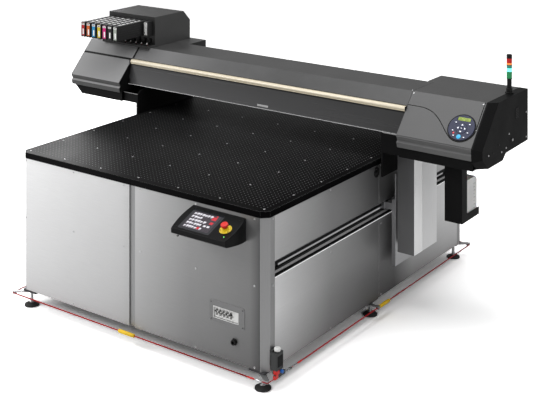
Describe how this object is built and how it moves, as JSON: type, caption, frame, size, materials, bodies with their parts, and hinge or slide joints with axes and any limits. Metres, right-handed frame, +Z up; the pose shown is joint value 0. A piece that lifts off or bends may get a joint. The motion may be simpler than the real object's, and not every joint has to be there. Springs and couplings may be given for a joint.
{
  "type": "flatbed uv printer",
  "caption": "Flatbed UV inkjet printer: vacuum table on a silver cabinet, travelling gantry with scanning print carriage, ink bay, operator console and pull-rope stop.",
  "frame": {"origin": "on the floor under the middle of the cabinet, at the bottom of the centre levelling foot", "axes": "+Z up, +X to the operator's right along the gantry, the operator stands on the -Y side"},
  "size_m": [3.126, 2.4425, 1.547],
  "materials": {
    "frame_paint": "satin powder coat",
    "table_black": "black hard anodised",
    "plenum_alu": "mill finish",
    "panel_silver": "satin brushed",
    "post_silver": "satin brushed",
    "screw_steel": "machined",
    "rail_steel": "ground",
    "belt_rubber": "toothed belt",
    "shaft_steel": "turned",
    "motor_black": "satin",
    "blower_grey": "cast and painted",
    "foot_rubber": "matte",
    "console_black": "fine texture",
    "screen_glass": "glossy",
    "estop_yellow": "glossy",
    "estop_red": "glossy",
    "plate_silver": "satin brushed",
    "breaker_white": "satin",
    "handle_black": "satin",
    "gland_black": "satin",
    "bracket_steel": "zinc plated",
    "rope_red": "sheathed steel rope",
    "switch_grey": "satin",
    "knob_blue": "glossy",
    "side_frame_silver": "satin",
    "block_steel": "ground",
    "column_dark": "satin",
    "beam_alu": "anodised",
    "cover_dark": "fine texture",
    "bar_ivory": "translucent",
    "window_smoke": "smoked",
    "cover_charcoal": "fine texture",
    "tray_black": "satin",
    "leg_silver": "satin brushed",
    "bay_charcoal": "fine texture",
    "tower_dark": "satin",
    "lens_colour": "ribbed lens",
    "panel_disc": "satin",
    "key_grey": "rubber keys",
    "holder_black": "satin",
    "bottle_white": "translucent polyethylene",
    "carriage_grey": "satin",
    "head_steel": "machined",
    "lamp_alu": "anodised",
    "cap_grey": "moulded",
    "cartridge_1": "moulded",
    "cartridge_2": "moulded",
    "cartridge_3": "moulded",
    "cartridge_4": "moulded",
    "cartridge_5": "moulded",
    "cartridge_6": "moulded",
    "cartridge_7": "moulded",
    "cartridge_8": "moulded"
  },
  "bodies": {
    "bed": {"base_frame": "frame_paint", "vacuum_table": "table_black", "vacuum_plenum": "plenum_alu", "front_panels": "panel_silver", "cabinet_panels": "panel_silver", "panel_posts": "post_silver", "panel_screws": "screw_steel", "guide_rails": "rail_steel", "travel_belts": "belt_rubber", "travel_motor": "motor_black", "vacuum_blower": "blower_grey", "levelling_feet": "foot_rubber", "console_housing": "console_black", "console_screen": "screen_glass", "estop_collar": "estop_yellow", "access_plate": "plate_silver", "breaker_block": "breaker_white", "cable_gland": "gland_black", "rope_brackets": "bracket_steel", "safety_rope": "rope_red", "rope_switch": "switch_grey"},
    "rear_drive_shaft": {"drive_shaft": "shaft_steel"},
    "front_idler_shaft": {"idler_shaft": "shaft_steel"},
    "emergency_stop": {"estop_button": "estop_red"},
    "breaker_lever": {"breaker_handle": "handle_black"},
    "rope_reset": {"rope_switch_knob": "knob_blue"},
    "travel_frame": {"side_frames": "side_frame_silver", "bearing_blocks": "block_steel", "lift_columns": "column_dark"},
    "print_unit": {"gantry_beam": "beam_alu", "top_cover": "cover_dark", "light_bar": "bar_ivory", "left_end_cover": "cover_charcoal", "right_end_cover": "cover_charcoal", "right_front_cover": "cover_charcoal", "end_plates": "cover_dark", "base_trays": "tray_black", "leg_covers": "leg_silver", "ink_bay": "bay_charcoal", "signal_tower": "tower_dark", "tower_lenses": "lens_colour", "control_panel": "panel_disc", "bottle_holder": "holder_black", "carriage_rail": "rail_steel", "capping_station": "cap_grey"},
    "window": {"front_window": "window_smoke"},
    "carriage": {"print_carriage": "carriage_grey", "print_heads": "head_steel", "uv_lamps": "lamp_alu"},
    "arrow_keys": {"arrow_pad": "key_grey"},
    "enter_button": {"enter_key": "key_grey"},
    "bottle": {"waste_bottle": "bottle_white"},
    "cartridge_1": {"ink_cartridge_1": "cartridge_1"},
    "cartridge_2": {"ink_cartridge_2": "cartridge_2"},
    "cartridge_3": {"ink_cartridge_3": "cartridge_3"},
    "cartridge_4": {"ink_cartridge_4": "cartridge_4"},
    "cartridge_5": {"ink_cartridge_5": "cartridge_5"},
    "cartridge_6": {"ink_cartridge_6": "cartridge_6"},
    "cartridge_7": {"ink_cartridge_7": "cartridge_7"},
    "cartridge_8": {"ink_cartridge_8": "cartridge_8"}
  },
  "joints": [
    {"name": "gantry_travel", "type": "slide", "parent": "bed", "child": "travel_frame", "axis": [0, 1, 0], "range_m": [-0.97, 0.6]},
    {"name": "gantry_lift", "type": "slide", "parent": "travel_frame", "child": "print_unit", "axis": [0, 0, 1], "range_m": [-0.15, 0]},
    {"name": "carriage_scan", "type": "slide", "parent": "print_unit", "child": "carriage", "axis": [-1, 0, 0], "range_m": [0, 2.5]},
    {"name": "window_hinge", "type": "hinge", "parent": "print_unit", "child": "window", "pos_m": [0, 0.041, 1.214], "axis": [-1, 0, 0], "range_deg": [0, 85]},
    {"name": "estop_press", "type": "slide", "parent": "bed", "child": "emergency_stop", "axis": [0, 0.3534, -0.9355], "range_m": [0, 0.004]},
    {"name": "breaker_throw", "type": "hinge", "parent": "bed", "child": "breaker_lever", "pos_m": [0.633, -1.099, 0.337], "axis": [1, 0, 0], "range_deg": [0, 45]},
    {"name": "rope_reset_press", "type": "slide", "parent": "bed", "child": "rope_reset", "axis": [-1, 0, 0], "range_m": [0, 0.002]},
    {"name": "arrow_press", "type": "slide", "parent": "print_unit", "child": "arrow_keys", "axis": [0, 0.7288, -0.6847], "range_m": [0, 0.0015]},
    {"name": "enter_press", "type": "slide", "parent": "print_unit", "child": "enter_button", "axis": [0, 0.7288, -0.6847], "range_m": [0, 0.0015]},
    {"name": "bottle_out", "type": "slide", "parent": "print_unit", "child": "bottle", "axis": [0, 1, 0], "range_m": [0, 0.22]},
    {"name": "drive_spin", "type": "hinge", "parent": "bed", "child": "rear_drive_shaft", "pos_m": [0, 0.985, 0.562], "axis": [1, 0, 0], "range_deg": [-1780, 2870]},
    {"name": "idler_spin", "type": "hinge", "parent": "bed", "child": "front_idler_shaft", "pos_m": [0, -0.985, 0.562], "axis": [1, 0, 0], "range_deg": [-1780, 2870]},
    {"name": "cartridge_1_out", "type": "slide", "parent": "print_unit", "child": "cartridge_1", "axis": [0, -1, 0], "range_m": [0, 0.14]},
    {"name": "cartridge_2_out", "type": "slide", "parent": "print_unit", "child": "cartridge_2", "axis": [0, -1, 0], "range_m": [0, 0.14]},
    {"name": "cartridge_3_out", "type": "slide", "parent": "print_unit", "child": "cartridge_3", "axis": [0, -1, 0], "range_m": [0, 0.14]},
    {"name": "cartridge_4_out", "type": "slide", "parent": "print_unit", "child": "cartridge_4", "axis": [0, -1, 0], "range_m": [0, 0.14]},
    {"name": "cartridge_5_out", "type": "slide", "parent": "print_unit", "child": "cartridge_5", "axis": [0, -1, 0], "range_m": [0, 0.14]},
    {"name": "cartridge_6_out", "type": "slide", "parent": "print_unit", "child": "cartridge_6", "axis": [0, -1, 0], "range_m": [0, 0.14]},
    {"name": "cartridge_7_out", "type": "slide", "parent": "print_unit", "child": "cartridge_7", "axis": [0, -1, 0], "range_m": [0, 0.14]},
    {"name": "cartridge_8_out", "type": "slide", "parent": "print_unit", "child": "cartridge_8", "axis": [0, -1, 0], "range_m": [0, 0.14]}
  ],
  "couplings": [
    {"joint": "drive_spin", "follows": "gantry_travel", "rad_per_m": -51.414},
    {"joint": "idler_spin", "follows": "gantry_travel", "rad_per_m": -51.414}
  ]
}
